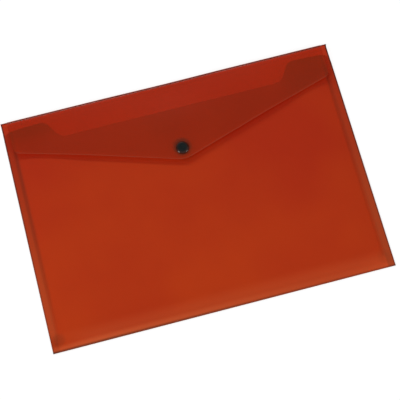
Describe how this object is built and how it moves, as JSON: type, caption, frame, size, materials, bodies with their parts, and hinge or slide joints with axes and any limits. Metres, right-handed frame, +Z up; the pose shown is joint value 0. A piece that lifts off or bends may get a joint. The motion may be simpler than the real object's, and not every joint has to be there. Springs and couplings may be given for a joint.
{
  "type": "document wallet",
  "caption": "Flat translucent plastic document wallet with welded sides and a pointed flap that folds over the pocket and closes with a press stud.",
  "frame": {"origin": "on the table, under the middle of the closed wallet lying on its back", "axes": "+X across the wallet to the right as seen from the front, +Y from the bottom fold up to the flap's fold, +Z up out of the front panel"},
  "size_m": [0.335, 0.237, 0.0119],
  "materials": {
    "sheet": "translucent frosted red polypropylene sheet",
    "popper": "black moulded plastic"
  },
  "bodies": {
    "wallet": {"back_panel": "sheet", "bottom_fold": "sheet", "front_panel": "sheet", "flap_crease": "sheet", "popper_stud": "popper", "popper_washer": "popper"},
    "flap": {"flap": "sheet", "popper_cap": "popper", "popper_socket": "popper"}
  },
  "joints": [
    {"name": "flap_hinge", "type": "hinge", "parent": "wallet", "child": "flap", "pos_m": [0, 0.1149, 0.0036], "axis": [-1, 0, 0], "range_deg": [0, 172], "deforming": ["flap_crease"]}
  ]
}
